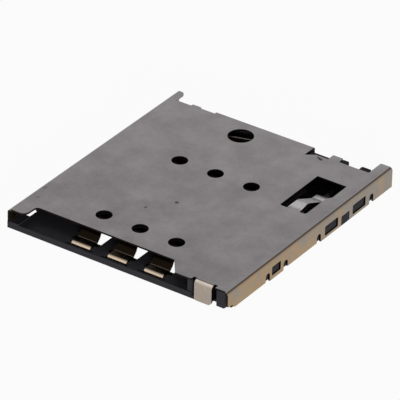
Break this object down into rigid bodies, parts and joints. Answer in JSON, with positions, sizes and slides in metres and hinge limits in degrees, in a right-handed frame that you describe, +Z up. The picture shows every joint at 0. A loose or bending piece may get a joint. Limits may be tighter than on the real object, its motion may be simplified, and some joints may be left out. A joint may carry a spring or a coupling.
{
  "type": "sim card socket",
  "caption": "Low push-push socket for a micro SIM card: folded steel shell over a black moulded base, spring contacts, sprung slider with cam track and card switch.",
  "frame": {"origin": "centre of the footprint, at the level of the circuit board", "axes": "+Z up from the board, +Y from the card's mouth to the rear, +X to the right when looking in at the mouth"},
  "size_m": [0.0154, 0.0172, 0.0013],
  "materials": {
    "shell_steel": "satin",
    "housing_plastic": "matt",
    "slider_plastic": "matt",
    "contact_gold": "gold plated",
    "link_steel": "satin",
    "spring_steel": "drawn",
    "switch_metal": "plated"
  },
  "bodies": {
    "base": {"shell": "shell_steel", "housing": "housing_plastic", "contact_1": "contact_gold", "contact_2": "contact_gold", "contact_3": "contact_gold", "contact_5": "contact_gold", "contact_6": "contact_gold", "contact_7": "contact_gold", "eject_spring": "spring_steel", "switch_leaf": "switch_metal", "switch_terminal": "switch_metal"},
    "slider": {"slider": "slider_plastic"},
    "follower": {"cam_follower": "link_steel"}
  },
  "joints": [
    {"name": "slider_slide", "type": "slide", "parent": "base", "child": "slider", "axis": [0, 1, 0], "range_m": [0, 0.0035], "stiffness_N_per_m": 250, "deforming": ["eject_spring"]},
    {"name": "follower_swing", "type": "hinge", "parent": "base", "child": "follower", "pos_m": [0.0057, 0.00655, 0.0003], "axis": [0, 0, 1], "range_deg": [0, 3.25]}
  ],
  "couplings": [
    {"joint": "follower_swing", "follows": "slider_slide", "rad_per_m": 16.08}
  ]
}
